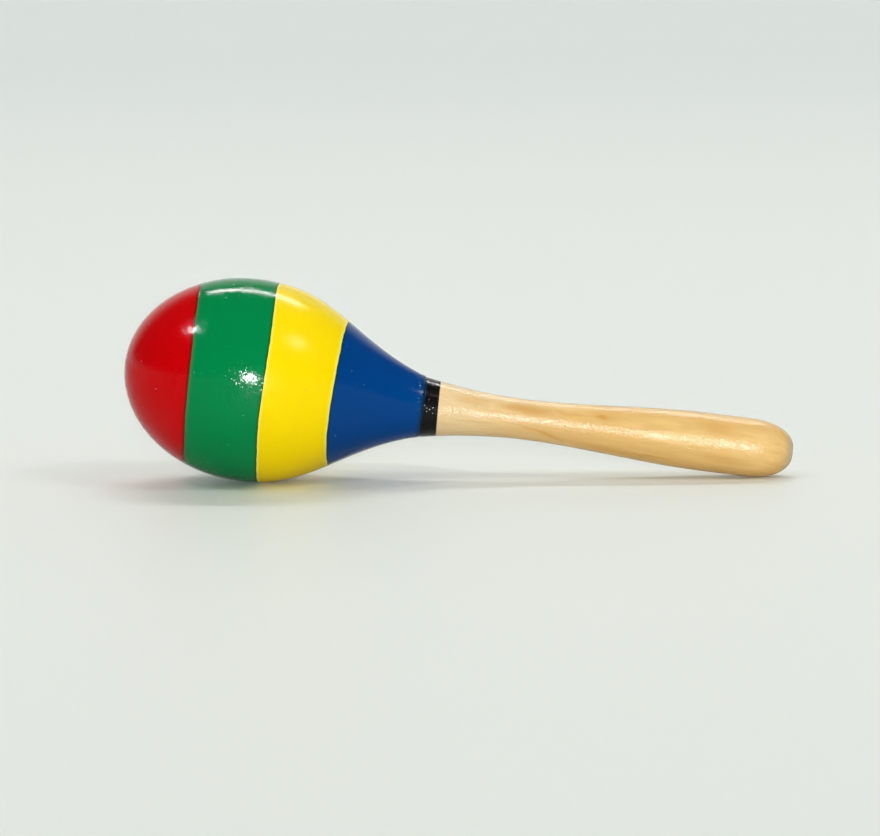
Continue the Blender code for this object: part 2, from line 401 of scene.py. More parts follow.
def outside(station):
    """Elliptical crown from station 0 to 1, then the flank's S-curve down to the seat at 2."""
    if station < 1:
        return half_egg(station, HEAD_RADIUS, CROWN_LENGTH, WIDEST)
    t = station - 1
    weights = ((1 - t) ** 3, 3 * t * (1 - t) ** 2, 3 * t * t * (1 - t), t ** 3)
    controls = (
        (HEAD_RADIUS, WIDEST),
        (HEAD_RADIUS, WIDEST - BELLY_REACH),
        (NECK_RADIUS + NECK_REACH * math.sin(NECK_SLOPE), NECK_REACH * math.cos(NECK_SLOPE)),
        (NECK_RADIUS, 0.0),
    )
    radius = sum(weight * control[0] for weight, control in zip(weights, controls))
    height = sum(weight * control[1] for weight, control in zip(weights, controls))
    return radius, height


@lru_cache(maxsize=None)
def station_at(curve, height):
    """Where a curve that runs from crown to neck passes a height, by halving."""
    low, high = 0.0, 2.0
    for _ in range(HALVINGS):
        middle = (low + high) / 2
        if curve(middle)[1] > height:
            low = middle
        else:
            high = middle
    return (low + high) / 2


def run(curve, start, end, count):
    return [curve(start + (end - start) * step / count) for step in range(count + 1)]


print("parting ring radius in mm:", round(1000 * outside(station_at(outside, PARTING))[0], 2))

# %% Outline of the handle
SHOULDER_SLOPE = math.radians(10.5)
WAIST_DISTANCE = 0.0301
WAIST_RADIUS = 0.0060
SWELL_DISTANCE = 0.0849
SWELL_RADIUS = 0.0087
BUTT_DISTANCE = 0.0966
BUTT_SQUARENESS = 2.36          # 2 would be an ellipse, more is blunter
BUTT_FLAT_RADIUS = 0.0025


def ease(start, end, start_slope):
    """A smooth stretch between two (radius, distance) points, level at its far end."""
    length = end[1] - start[1]

    def point(u):
        rise = 3 * u ** 2 - 2 * u ** 3
        lean = (u ** 3 - 2 * u ** 2 + u) * length * start_slope
        return start[0] + (end[0] - start[0]) * rise + lean, start[1] + length * u
    return point


def butt(share):
    """The blunt end, from where it starts to round off out to the rim of its small flat."""
    power = 2 / BUTT_SQUARENESS
    flat_angle = math.acos((BUTT_FLAT_RADIUS / SWELL_RADIUS) ** (1 / power))
    angle = share * flat_angle
    reach = (math.sin(angle) / math.sin(flat_angle)) ** power
    distance = BUTT_DISTANCE + (HANDLE_LENGTH - BUTT_DISTANCE) * reach
    return SWELL_RADIUS * math.cos(angle) ** power, distance


waist = (WAIST_RADIUS, WAIST_DISTANCE)
swell = (SWELL_RADIUS, SWELL_DISTANCE)
shoulder = ease((NECK_RADIUS, 0.0), waist, -math.tan(SHOULDER_SLOPE))
grip = ease(waist, swell, 0.0)
print("waist and grip across in mm:", 2000 * WAIST_RADIUS, 2000 * SWELL_RADIUS)

# %% [markdown]
# ## A lathe made of edit-mode tools
#
# The Screw modifier could spin an outline too. The edit-mode way is closer to a drawing: a small plane
# is merged to a single corner, the corner is extruded from point to point along the outline, and Spin
# carries the line round the axis. Merging the doubles closes the seam and the poles, and only then
# are the normals recalculated. Last, the piece is set on its axis and that place is applied, so the
# object itself stays at the origin.

# %% The lathe
LATHE_STEPS = 240
BLANK_SIZE = 0.01
MERGE = 0.000001
SMOOTH_ANGLE = math.radians(32.0)


def alone(piece):
    bpy.ops.object.select_all(action="DESELECT")
    piece.select_set(True)
    bpy.context.view_layer.objects.active = piece


def turn(name, outline, axis, steps=LATHE_STEPS):
    """Spin an outline of (radius, height) points and set the result on an axis."""
    bpy.ops.object.select_all(action="DESELECT")
    bpy.ops.mesh.primitive_plane_add(size=BLANK_SIZE)
    piece = bpy.context.object
    piece.name = name
    bpy.ops.object.mode_set(mode="EDIT")
    bpy.ops.mesh.select_all(action="SELECT")
    bpy.ops.mesh.merge(type="CENTER")
    bpy.ops.transform.translate(value=(outline[0][0], 0.0, outline[0][1]))
    for here, there in zip(outline, outline[1:]):
        stroke = (there[0] - here[0], 0.0, there[1] - here[1])
        bpy.ops.mesh.extrude_region_move(TRANSFORM_OT_translate={"value": stroke})
    bpy.ops.mesh.select_all(action="SELECT")
    bpy.ops.mesh.spin(steps=steps, angle=2 * math.pi, center=(0, 0, 0), axis=(0, 0, 1))
    bpy.ops.mesh.select_all(action="SELECT")
    bpy.ops.mesh.remove_doubles(threshold=MERGE)
    bpy.ops.mesh.normals_make_consistent(inside=False)
    bpy.ops.object.mode_set(mode="OBJECT")
    piece.matrix_world = axis
    alone(piece)
    bpy.ops.object.transform_apply(location=True, rotation=True, scale=True)
    print(piece.name, "turned from", len(outline), "points")
    return piece


def smooth(piece):
    alone(piece)
    bpy.ops.object.shade_smooth_by_angle(angle=SMOOTH_ANGLE)
    print(piece.name, "has", sum(len(face.vertices) - 2 for face in piece.data.polygons), "triangles")


print("lathe with", LATHE_STEPS, "steps is ready")

# %% [markdown]
# ## The crown half
#
# The head is turned in two cups, because a closed hollow can't be carved from outside. The crown cup
# ends in a thin lip that drops into a step of the other cup, and glue holds the two. A Solidify modifier
# could give a shell its wall, but not this lip, so the outline runs along both sides of the wall. The
# outside is one unbroken curve down to the parting, where both halves share the very same ring of
# points, so that no line shows under the paint.

# %% Turn the crown half
LIP_LENGTH = 0.0040
LIP_THICKNESS = 0.0020
LIP_END = PARTING - LIP_LENGTH
LIP_RADIUS = hollow(station_at(hollow, PARTING))[0] + LIP_THICKNESS
CROWN_POINTS = 90
CEILING_POINTS = 48

crown_outline = (run(outside, 0.0, station_at(outside, PARTING), CROWN_POINTS)
                 + [(LIP_RADIUS, PARTING), (LIP_RADIUS, LIP_END)]
                 + run(hollow, station_at(hollow, LIP_END), 0.0, CEILING_POINTS))
crown = turn("painted_crown", crown_outline, head_axis)
smooth(crown)

# %% [markdown]
# ## The neck half
#
# The second cup is turned a little too long. Its end is then sawn off square to the handle's axis. A
# Boolean could saw it too, but Bisect does it in one stroke and leaves the new rim selected, so that a
# bevel can ease it, where the real paint has gathered into a thin round edge. A Boolean then drills the
# hole for the handle's spigot.

# %% Turn the neck half
GLUE_GAP = 0.0003
NECK_TRIM = 0.0010
LAST_RING = 0.0006              # clear of the slanting saw cut
ROLL_REACH = 0.0024             # paint gathers into a roll along the neck's end
ROLL_HEIGHT = 0.00010
STEP_FLOOR = LIP_END - GLUE_GAP
STEP_RADIUS = LIP_RADIUS + GLUE_GAP
FLOOR_POINTS = 36
FLANK_POINTS = 80
trim_point = (NECK_RADIUS + ROLL_HEIGHT - NECK_TRIM * math.tan(NECK_SLOPE), -NECK_TRIM)


def painted_flank(station):
    radius, height = outside(station)
    share = max(0.0, 1 - height / ROLL_REACH)
    return radius + ROLL_HEIGHT * share * share * (3 - 2 * share), height


flank_start = station_at(outside, PARTING)
flank_end = station_at(outside, LAST_RING)
neck_outline = (run(hollow, 2.0, station_at(hollow, STEP_FLOOR), FLOOR_POINTS)
                + [(STEP_RADIUS, STEP_FLOOR), (STEP_RADIUS, PARTING)]
                + run(painted_flank, flank_start, flank_end, FLANK_POINTS)
                + [trim_point, (0.0, -NECK_TRIM)])
neck = turn("painted_neck", neck_outline, head_axis)

# %% Saw the neck square and ease its rim
RIM_EASE = 0.00035
RIM_SEGMENTS = 6

alone(neck)
bpy.ops.object.mode_set(mode="EDIT")
bpy.ops.mesh.select_all(action="SELECT")
bpy.ops.mesh.bisect(plane_co=seat, plane_no=handle_along, use_fill=True, clear_inner=True)
bpy.ops.mesh.bevel(offset=RIM_EASE, segments=RIM_SEGMENTS, affect="EDGES")
bpy.ops.object.mode_set(mode="OBJECT")
print("neck end eased by", 1000 * RIM_EASE, "mm")

# %% Drill the neck
SPIGOT_RADIUS = 0.0045
BORE_RADIUS = SPIGOT_RADIUS + GLUE_GAP
DRILL_OVERRUN = 0.0020
DRILL_TOP = HOLLOW_BOTTOM + DRILL_OVERRUN
DRILL_STEPS = 96

drill_outline = [(0.0, DRILL_TOP), (BORE_RADIUS, DRILL_TOP),
                 (BORE_RADIUS, -DRILL_OVERRUN), (0.0, -DRILL_OVERRUN)]
drill = turn("drill", drill_outline, handle_axis, steps=DRILL_STEPS)
alone(neck)
bore = neck.modifiers.new("bore", "BOOLEAN")
bore.operation = "DIFFERENCE"
bore.solver = "EXACT"
bore.object = drill
bpy.ops.object.modifier_apply(modifier=bore.name)
bpy.data.objects.remove(drill)
smooth(neck)

# %% [markdown]
# ## The handle
#
# One piece of pale hardwood, with a chamfered spigot that goes into the neck. It could be a cylinder
# that is scaled ring by ring, but the lathe keeps its long curve smooth. Its shoulder is as wide as the
# neck, so paint and wood run on in one line, and its corner there is barely broken.

# %% Turn the handle
SPIGOT_CHAMFER = 0.0010
SPIGOT_SETBACK = 0.0022
SHOULDER_EASE = 0.00015
SEAT_GAP = 0.00002
SPIGOT_TIP = HOLLOW_BOTTOM - SPIGOT_SETBACK
STRETCH_POINTS = 44
BUTT_POINTS = 40

spigot = [(0.0, SPIGOT_TIP), (SPIGOT_RADIUS - SPIGOT_CHAMFER, SPIGOT_TIP),
          (SPIGOT_RADIUS, SPIGOT_TIP - SPIGOT_CHAMFER), (SPIGOT_RADIUS, -SEAT_GAP),
          (NECK_RADIUS - SHOULDER_EASE, -SEAT_GAP)]
stretches = (run(shoulder, SHOULDER_EASE / WAIST_DISTANCE, 1.0, STRETCH_POINTS)
             + run(grip, 0.0, 1.0, STRETCH_POINTS)[1:]
             + run(butt, 0.0, 1.0, BUTT_POINTS))
held_part = [(radius, -distance) for radius, distance in stretches]
handle_outline = spigot + held_part + [(0.0, -HANDLE_LENGTH)]
handle = turn("lacquered_handle", handle_outline, handle_axis)
smooth(handle)

# %% [markdown]
# ## The shot
#
# Steel balls in the hollow make the sound. A ready-made sphere has crowded poles, so one ball is made
# from a subdivided cube that a Cast modifier swells to a sphere of a set size. Real shot has a small
# flat where it was cut from the wire, so one spot is pressed level. All corners are let go first, or
# the press would catch the whole ball. The ball is then copied to each place, with a mesh and a turn of
# its own.

# %% Make one ball
PELLET_RADIUS = 0.00225
BALL_CUTS = 7

bpy.ops.object.select_all(action="DESELECT")
bpy.ops.mesh.primitive_cube_add(size=2 * PELLET_RADIUS)
ball = bpy.context.object
ball.name = "shot_ball"
bpy.ops.object.mode_set(mode="EDIT")
bpy.ops.mesh.select_all(action="SELECT")
bpy.ops.mesh.subdivide(number_cuts=BALL_CUTS)
bpy.ops.object.mode_set(mode="OBJECT")
swell_round = ball.modifiers.new("swell", "CAST")
swell_round.cast_type = "SPHERE"
swell_round.factor = 1.0
swell_round.use_radius_as_size = False
swell_round.size = PELLET_RADIUS
bpy.ops.object.modifier_apply(modifier=swell_round.name)
print("round ball in mm:", [round(1000 * width, 2) for width in ball.dimensions])

# %% Press its flat
FLAT_HEIGHT = 0.95 * PELLET_RADIUS

bpy.ops.object.mode_set(mode="EDIT")
bpy.ops.mesh.select_mode(type="VERT")
bpy.ops.mesh.select_all(action="DESELECT")
bpy.ops.object.mode_set(mode="OBJECT")
for corner in ball.data.vertices:
    corner.select = corner.co.z > FLAT_HEIGHT
bpy.ops.object.mode_set(mode="EDIT")
bpy.ops.transform.resize(value=(1, 1, 0), center_override=(0, 0, FLAT_HEIGHT))
bpy.ops.object.mode_set(mode="OBJECT")
smooth(ball)
print("ball in mm:", [round(1000 * width, 2) for width in ball.dimensions])

# %% Copy the ball to every place
GOLDEN_TURN = math.radians(137.5)

pellet_nodes = sorted(name for name in frame["nodes"] if name.startswith("pellet_"))
shot = {}
for number, node_name in enumerate(pellet_nodes):
    low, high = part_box(node_name)
    alone(ball)
    bpy.ops.object.duplicate(linked=False)
    copy = bpy.context.object
    copy.name = node_name.replace("pellet", "steel_shot")
    copy.rotation_euler = (number * GOLDEN_TURN, number * GOLDEN_TURN / 2, 0.0)
    copy.location = (low + high) / 2
    bpy.ops.object.transform_apply(location=True, rotation=True, scale=True)
    shot[node_name] = copy
bpy.data.objects.remove(ball)
print(len(shot), "balls placed")

# %% [markdown]
# ## A paint edge
#
# Each colour was brushed on while the maraca turned, so the edges are nearly straight rings, each a
# little askew or twisted. An image wrapped round the head could show them, but it would blur close up.
# Here the edge is worked out as a height along the axis that leans with the other two directions. It is
# a node group because the head and the handle both have such edges. It puts out a mask of what lies
# above the edge, and a line on each side of it, where one paint laps over the other. The enamel gives
# these lines the colour of the lap, a painted highlight along the ridge on the yellow side, and painted
# shade at the neck's end.

# %% Make and place a group
def new_group(name, numbers_in, numbers_out):
    """A node group from a vector and numbers to other numbers, with its sockets on both ends."""
    group = bpy.data.node_groups.new(name, "ShaderNodeTree")
    group.interface.new_socket("Vector", in_out="INPUT", socket_type="NodeSocketVector")
    for side, socket_names in (("INPUT", numbers_in), ("OUTPUT", numbers_out)):
        for socket_name in socket_names:
            group.interface.new_socket(socket_name, in_out=side, socket_type="NodeSocketFloat")
    given = group.nodes.new("NodeGroupInput").outputs
    result = group.nodes.new("NodeGroupOutput").inputs
    return group, given, result


def place_group(tree, name, *values):
    """Put a group into a material, feed its inputs in their order, and hand back its outputs."""
    placed = tree.nodes.new("ShaderNodeGroup")
    placed.node_tree = bpy.data.node_groups[name]
    for socket, value in zip(placed.inputs, values):
        feed(tree, socket, value)
    return placed.outputs


print("groups can be made and placed")

# %% Paint edge group
EDGE_SOFT = 0.00008
TWIST_FLOOR = -0.019            # the twist stays straight below this side
TWIST_POWER = 3.0
WAVER_SCALE = 260.0
WAVER_DETAIL = 1.0

group, given, result = new_group(
    "paint_edge",
    ("Height", "Lean", "Swing", "Twist", "Waver", "Line Width"),
    ("Above", "Upper Line", "Lower Line"),
)
x, y, z = split(group, given["Vector"])
lean = calc(group, "MULTIPLY", x, given["Lean"])
swing = calc(group, "MULTIPLY", y, given["Swing"])
turned = calc(group, "POWER", calc(group, "MAXIMUM", x, TWIST_FLOOR), TWIST_POWER)
twist = calc(group, "MULTIPLY", turned, given["Twist"])
wave = calc(group, "SUBTRACT", noise(group, given["Vector"], WAVER_SCALE, WAVER_DETAIL), 0.5)
waver = calc(group, "MULTIPLY", wave, given["Waver"])
slant = calc(group, "ADD", calc(group, "ADD", lean, swing), calc(group, "ADD", twist, waver))
gap = calc(group, "SUBTRACT", calc(group, "SUBTRACT", z, slant), given["Height"])
above = ramp(group, gap, -EDGE_SOFT, EDGE_SOFT)
near = fall(group, calc(group, "ABSOLUTE", gap), 0.0, given["Line Width"])
feed(group, result["Above"], above)
feed(group, result["Upper Line"], calc(group, "MULTIPLY", near, above))
feed(group, result["Lower Line"], calc(group, "MULTIPLY", near, calc(group, "SUBTRACT", 1.0, above)))


def paint_edge(tree, vector, height, lean=0.0, swing=0.0, twist=0.0, waver=0.0003, line=0.0009):
    return place_group(tree, "paint_edge", vector, height, lean, swing, twist, waver, line)


print("made group", group.name)

# %% [markdown]
# ## The skin of the paint
#
# Brushed enamel dries with a faint orange peel, with shallow brush marks that run round the piece, with
# fine pimples and with a few specks of dust. All four break a lamp's reflection into the small sparks
# that make the head look painted and not moulded. They are far too shallow for real geometry, so the
# group puts out a height for a Bump node. The brush marks and the dust also come out as values of their
# own, because they change the colour too.

# %% Scattered specks
def specks(tree, vector, scale, reach, rarity):
    """Round specks in random places, each 1 in its middle. Rarity is the share that is left out."""
    places = tree.nodes.new("ShaderNodeTexVoronoi")
    feed(tree, places.inputs["Vector"], vector)
    feed(tree, places.inputs["Scale"], scale)
    shape = fall(tree, places.outputs["Distance"], 0.0, reach)
    chosen = calc(tree, "GREATER_THAN", split(tree, places.outputs["Color"])[0], rarity)
    return calc(tree, "MULTIPLY", shape, chosen)


print("specks are ready")

# %% Paint skin group
MARK_SQUEEZE = 420.0            # a brush mark is far narrower along the axis than round it
MARK_SCALE = 1.7
MARK_DETAIL = 3.0
PEEL_DETAIL = 1.5

group, given, result = new_group(
    "paint_skin",
    ("Peel Scale", "Peel", "Brush", "Pimples"),
    ("Height", "Marks", "Dust"),
)
x, y, z = split(group, given["Vector"])
radius = from_axis(group, x, y)
round_x = calc(group, "DIVIDE", x, radius)
round_y = calc(group, "DIVIDE", y, radius)
stroke = join(group, round_x, round_y, calc(group, "MULTIPLY", z, MARK_SQUEEZE))
marks = noise(group, stroke, MARK_SCALE, MARK_DETAIL)
peel_noise = noise(group, given["Vector"], given["Peel Scale"], PEEL_DETAIL)
peel = calc(group, "MULTIPLY", peel_noise, given["Peel"])
brushed = calc(group, "MULTIPLY_ADD", marks, given["Brush"], peel)
pimples = specks(group, given["Vector"], scale=900.0, reach=0.42, rarity=0.0)
dust = specks(group, given["Vector"], scale=300.0, reach=0.08, rarity=0.62)
bumpy = calc(group, "MULTIPLY_ADD", pimples, given["Pimples"], brushed)
feed(group, result["Height"], calc(group, "ADD", dust, bumpy))
feed(group, result["Marks"], marks)
feed(group, result["Dust"], dust)


def paint_skin(tree, vector, peel_scale, peel, brush, pimples):
    return place_group(tree, "paint_skin", vector, peel_scale, peel, brush, pimples)


print("made group", group.name)

# %% [markdown]
# ## The enamel of the head
#
# Red, green, yellow and blue cover both halves, so one material serves them: its bands are heights
# along the head's axis, which a Mapping node finds from the object's own coordinates. A face could
# have a material of its own for each colour instead, but then the edges would follow the mesh rings
# and lose their slant. Yellow is the dullest of the four and green and red the glossiest.

# %% Coordinates and relief
def on_axis(tree, axis):
    """Object coordinates, seen from a lathe axis: Z along it from the seat, X on its upper side."""
    place = tree.nodes.new("ShaderNodeMapping")
    place.vector_type = "TEXTURE"
    place.inputs["Location"].default_value = axis.to_translation()
    place.inputs["Rotation"].default_value = axis.to_euler()
    feed(tree, place.inputs["Vector"], tree.nodes.new("ShaderNodeTexCoord").outputs["Object"])
    return place.outputs[0]


def relief(tree, shader, height, depth):
    """Bump the surface by a height of 0 to 1 times a real depth."""
    bump = tree.nodes.new("ShaderNodeBump")
    bump.inputs["Strength"].default_value = 1.0
    bump.inputs["Distance"].default_value = depth
    feed(tree, bump.inputs["Height"], height)
    feed(tree, shader.inputs["Normal"], bump.outputs["Normal"])


print("coordinates and relief are ready")

# %% Edges of the enamel
RED_EDGE = (0.06858, 0.0517, -0.0123, 19.0)     # height, lean, swing and twist of an edge
GREEN_EDGE = (0.04527, 0.0066, -0.0630, 79.3)
YELLOW_EDGE = (0.02490, -0.0052, -0.0949, 65.0)

enamel, tree, shader = new_finish("banded_enamel", roughness=0.10, ior=1.18)
spot = on_axis(tree, head_axis)
in_red, red_lap, olive_lap = paint_edge(tree, spot, *RED_EDGE, line=0.0012)
in_green, green_lap, pale_lap_highlight = paint_edge(tree, spot, *GREEN_EDGE)
in_yellow, pale_rim_highlight, blue_lap = paint_edge(tree, spot, *YELLOW_EDGE)
end_face = head_axis.to_3x3().inverted() @ handle_along
end_lean = -end_face.x / end_face.z
# painted shade: the blue darkens over the last 1.6 mm before the neck's end, where the rolled rim turns away from
# the light
_, end_painted_shade, _ = paint_edge(tree, spot, 0.0, end_lean, waver=0.0, line=0.0016)
print("enamel edges on", enamel.name)

# %% Colours of the enamel
RED = (0.570, 0.0004, 0.0020, 1.0)
GREEN = (0.0002, 0.228, 0.062, 1.0)
YELLOW = (1.000, 0.735, 0.0006, 1.0)
BLUE = (0.0002, 0.052, 0.235, 1.0)
RED_LAP = (0.080, 0.006, 0.003, 1.0)
OLIVE_LAP = (0.095, 0.150, 0.055, 1.0)
GREEN_LAP = (0.012, 0.065, 0.001, 1.0)
# painted highlight: a pale line along the ridge where yellow meets green or blue
YELLOW_LAP_HIGHLIGHT = (0.900, 0.880, 0.180, 1.0)
# dark line where blue laps over yellow, and also the painted shade at the neck's end
BLUE_LAP_AND_SHADE = (0.004, 0.028, 0.030, 1.0)


def banded(mixer, red, green, yellow, blue):
    """One of four values or colours, by the band that a place lies in."""
    lower = mixer(tree, in_yellow, blue, yellow)
    return mixer(tree, in_red, mixer(tree, in_green, lower, green), red)


def lapped(colour, lap, lap_colour, share):
    """A colour that turns to another one by a share where a lap lies."""
    return mix_colours(tree, calc(tree, "MULTIPLY", lap, share), colour, lap_colour)


red = lapped(RED, red_lap, RED_LAP, share=0.85)
green = lapped(lapped(GREEN, olive_lap, OLIVE_LAP, share=0.6), green_lap, GREEN_LAP, share=0.85)
# yellow takes a painted highlight along the ridges at both of its edges
yellow = lapped(lapped(YELLOW, pale_lap_highlight, YELLOW_LAP_HIGHLIGHT, share=0.8), pale_rim_highlight, YELLOW_LAP_HIGHLIGHT, share=0.8)
# blue takes its lap line, then painted shade towards the neck's end
blue = lapped(lapped(BLUE, blue_lap, BLUE_LAP_AND_SHADE, share=0.9), end_painted_shade, BLUE_LAP_AND_SHADE, share=0.8)
paint = banded(mix_colours, red, green, yellow, blue)
print("enamel colours on", enamel.name)

# %% Skin of the enamel
DUST = (0.34, 0.56, 0.62, 1.0)
DUST_SHARE = 0.6
ENAMEL_SCALE = 1900.0
PEEL = (1.0, 1.0, 0.40, 0.9)    # for red, green, yellow and blue, as in the next three rows
PIMPLES = (1.3, 1.3, 0.2, 0.8)
BRUSH = (0.08, 0.08, 0.02, 0.06)
ROUGHNESS = (0.10, 0.09, 0.22, 0.12)
END_PIMPLES = 4.6               # the paint is lumpy where it has gathered at the neck's end
END_REACH = (0.0015, 0.0055)
LAP_HEIGHT = 0.8
ENAMEL_DEPTH = 0.000030

near_end = fall(tree, split(tree, spot)[2], *END_REACH)
pimples = mix_values(tree, near_end, banded(mix_values, *PIMPLES), END_PIMPLES)
peel = banded(mix_values, *PEEL)
brush = banded(mix_values, *BRUSH)
height, marks, dust = paint_skin(tree, spot, ENAMEL_SCALE, peel, brush, pimples)
shade = calc(tree, "MULTIPLY_ADD", calc(tree, "SUBTRACT", marks, 0.5), brush, 1.0)
dusty = calc(tree, "MULTIPLY", dust, DUST_SHARE)
feed(tree, shader.inputs["Base Color"], mix_colours(tree, dusty, shaded(tree, paint, shade), DUST))
feed(tree, shader.inputs["Roughness"], banded(mix_values, *ROUGHNESS))
laps = calc(tree, "MAXIMUM", calc(tree, "MAXIMUM", red_lap, pale_lap_highlight), pale_rim_highlight)
relief(tree, shader, calc(tree, "MULTIPLY_ADD", laps, LAP_HEIGHT, height), ENAMEL_DEPTH)
print("enamel skin on", enamel.name)

# %% [markdown]
# ## The grain of the wood
#
# A tree's rings are cylinders round its pith. The handle was cut off the pith and at a slant, so the
# rings come out on its surface as long soft streaks. The group bends the rings with stretched noise
# and adds fine fibres along the axis. A Wave texture could draw rings too, but its spacing is too even.

# %% Wood grain group
BEND_DRAW = 0.14                # below 1, so that the bends are drawn out along the axis
BEND_SCALE = 110.0
FIBRE_DRAW = 0.03               # and the fibres even more
FIBRE_SCALE = 1300.0
FIBRE_DETAIL = 3.0

group, given, result = new_group(
    "wood_grain",
    ("Slant", "Pith X", "Pith Y", "Ring Width", "Bend"),
    ("Streaks", "Fibres"),
)
x, y, z = split(group, given["Vector"])
slid = calc(group, "SUBTRACT", x, calc(group, "MULTIPLY", z, given["Slant"]))
drawn = join(group, slid, y, calc(group, "MULTIPLY", z, BEND_DRAW))
bend = calc(group, "MULTIPLY", noise(group, drawn, BEND_SCALE), given["Bend"])
pith_x = calc(group, "SUBTRACT", slid, given["Pith X"])
pith_y = calc(group, "SUBTRACT", y, given["Pith Y"])
ring = calc(group, "DIVIDE", from_axis(group, pith_x, pith_y), given["Ring Width"])
bent_ring = calc(group, "ADD", ring, bend)
wave = calc(group, "SINE", calc(group, "MULTIPLY", bent_ring, 2 * math.pi))
feed(group, result["Streaks"], calc(group, "MULTIPLY_ADD", wave, 0.5, 0.5))
thread = join(group, x, y, calc(group, "MULTIPLY", z, FIBRE_DRAW))
feed(group, result["Fibres"], noise(group, thread, FIBRE_SCALE, FIBRE_DETAIL))


def wood_grain(tree, vector, slant, pith_x, pith_y, ring_width, bend):
    return place_group(tree, "wood_grain", vector, slant, pith_x, pith_y, ring_width, bend)


print("made group", group.name)

# %% [markdown]
# ## Lacquered wood and the black band
#
# The handle is cream next to the head and turns to honey towards the grip, with a small dark knot half
# way. Noise alone could give it streaks, but not this knot and these lines, so soft oval stains are laid
# along the grain where the real wood is darker. Clear lacquer gives a broad, pebbly shine, because the
# wood's pores still show through. The black band is painted over the same wood, so it belongs to the
# same material.

# %% Stains in the wood
GRAIN_SLANT = 0.09
STAINS = {                      # place on the handle, reach across and along, tilt, strength
    "first streak": ((0.0044, -0.0057, -0.0150), 0.0024, 0.011, -0.05, 0.42),
    "upper streak": ((0.0037, -0.0050, -0.0310), 0.0024, 0.014, -0.07, 0.80),
    "link to the knot": ((0.0040, -0.0050, -0.0440), 0.0014, 0.011, -0.08, 0.60),
    "knot": ((0.0040, -0.0058, -0.0530), 0.0017, 0.004, 0.00, 0.95),
    "round the knot": ((0.0042, -0.0057, -0.0535), 0.0030, 0.010, 0.00, 0.55),
    "above the knot": ((0.0065, -0.0031, -0.0590), 0.0028, 0.016, 0.00, 0.45),
    "top edge": ((0.0076, -0.0005, -0.0560), 0.0022, 0.024, 0.00, 0.60),
    "top of the grip": ((0.0086, -0.0008, -0.0830), 0.0022, 0.024, 0.00, 0.50),
    "thin line": ((-0.0016, -0.0066, -0.0180), 0.0005, 0.017, -0.09, 0.40),
    "slant line": ((-0.0028, -0.0054, -0.0365), 0.0013, 0.014, 0.13, 0.80),
    "beside the slant line": ((-0.0030, -0.0053, -0.0400), 0.0026, 0.017, 0.13, 0.45),
    "underside": ((-0.0049, -0.0051, -0.0570), 0.0032, 0.027, 0.00, 0.65),
    "low line": ((-0.0057, -0.0060, -0.0690), 0.0006, 0.016, 0.00, 0.90),
    "upper grip": ((0.0055, -0.0066, -0.0870), 0.0042, 0.012, 0.00, 0.55),
    "lower grip": ((-0.0037, -0.0079, -0.0890), 0.0036, 0.014, 0.00, 0.50),
}
STAIN_DEPTH = 0.0035            # least reach into the wood
STAIN_CORE = 0.1                # share of the reach that has the full strength


def stain(tree, vector, place, across, along, tilt, strength):
    """A soft oval in slanted grain coordinates, strongest in its middle."""
    oval = tree.nodes.new("ShaderNodeMapping")
    oval.vector_type = "TEXTURE"
    oval.inputs["Location"].default_value = (place[0] - GRAIN_SLANT * place[2], place[1], place[2])
    oval.inputs["Rotation"].default_value = (0.0, tilt, 0.0)
    oval.inputs["Scale"].default_value = (across, max(across, STAIN_DEPTH), along)
    feed(tree, oval.inputs["Vector"], vector)
    return ramp(tree, from_middle(tree, oval.outputs[0]), STAIN_CORE, 1.0, strength, 0.0)


print(len(STAINS), "stains listed")

# %% Lay the stains along the grain
WANDER = 0.0022                 # how far the grain strays from a straight line
WANDER_SCALE = 140.0

lacquer, tree, shader = new_finish("lacquered_wood", roughness=0.20, ior=1.27)
spot = on_axis(tree, handle_axis)
x, y, along = split(tree, spot)
stray = calc(tree, "SUBTRACT", noise(tree, spot, WANDER_SCALE), 0.5)
wandered = calc(tree, "ADD", x, calc(tree, "MULTIPLY", stray, WANDER))
slid = calc(tree, "SUBTRACT", wandered, calc(tree, "MULTIPLY", along, GRAIN_SLANT))
grain_spot = join(tree, slid, y, along)
stained = 0.0
for stain_values in STAINS.values():
    stained = calc(tree, "MAXIMUM", stain(tree, grain_spot, *stain_values), stained)
print("stains on", lacquer.name)

# %% Figure of the wood
CLOUD_DRAW = 0.16
CLOUD_SCALE = 420.0
CLOUD_DETAIL = 3.0
CLOUDS = (0.42, 0.68, 0.0, 0.34)            # noise from and to, figure from and to
STREAK_RISE = (-0.006, -0.032, 0.06, 0.34)  # place along the handle from and to, strength from and to
CLOUD_RISE = (-0.006, -0.040, 0.35, 1.0)

streaks, fibres = wood_grain(tree, spot, slant=GRAIN_SLANT, pith_x=0.004, pith_y=0.022,
                             ring_width=0.0062, bend=1.6)
streak = calc(tree, "MULTIPLY", streaks, ramp(tree, along, *STREAK_RISE))
cloud_spot = join(tree, slid, y, calc(tree, "MULTIPLY", along, CLOUD_DRAW))
clouds = ramp(tree, noise(tree, cloud_spot, CLOUD_SCALE, CLOUD_DETAIL), *CLOUDS)
figure = calc(tree, "MULTIPLY", clouds, ramp(tree, along, *CLOUD_RISE))
golden = calc(tree, "MAXIMUM", calc(tree, "MAXIMUM", streak, figure), stained)
print("figure on", lacquer.name)

# %% Colours of the wood and the band
CREAM = (0.840, 0.630, 0.338, 1.0)
HONEY = (0.850, 0.568, 0.214, 1.0)
GOLD = (0.660, 0.345, 0.080, 1.0)
BUTT_GREY = (0.500, 0.430, 0.290, 1.0)
BLACK = (0.0020, 0.0025, 0.0018, 1.0)
DARK_BLUE = (0.0010, 0.022, 0.070, 1.0)
RIPENING = (-0.004, -0.060)                 # from cream to honey along the handle
END_RISE = (-0.1070, -0.1105, 0.0, 0.7)     # place from and to, share of the butt's grey from and to
FIBRE_SHADE = (0.3, 0.7, 0.965, 1.03)       # fibre value from and to, brightness from and to

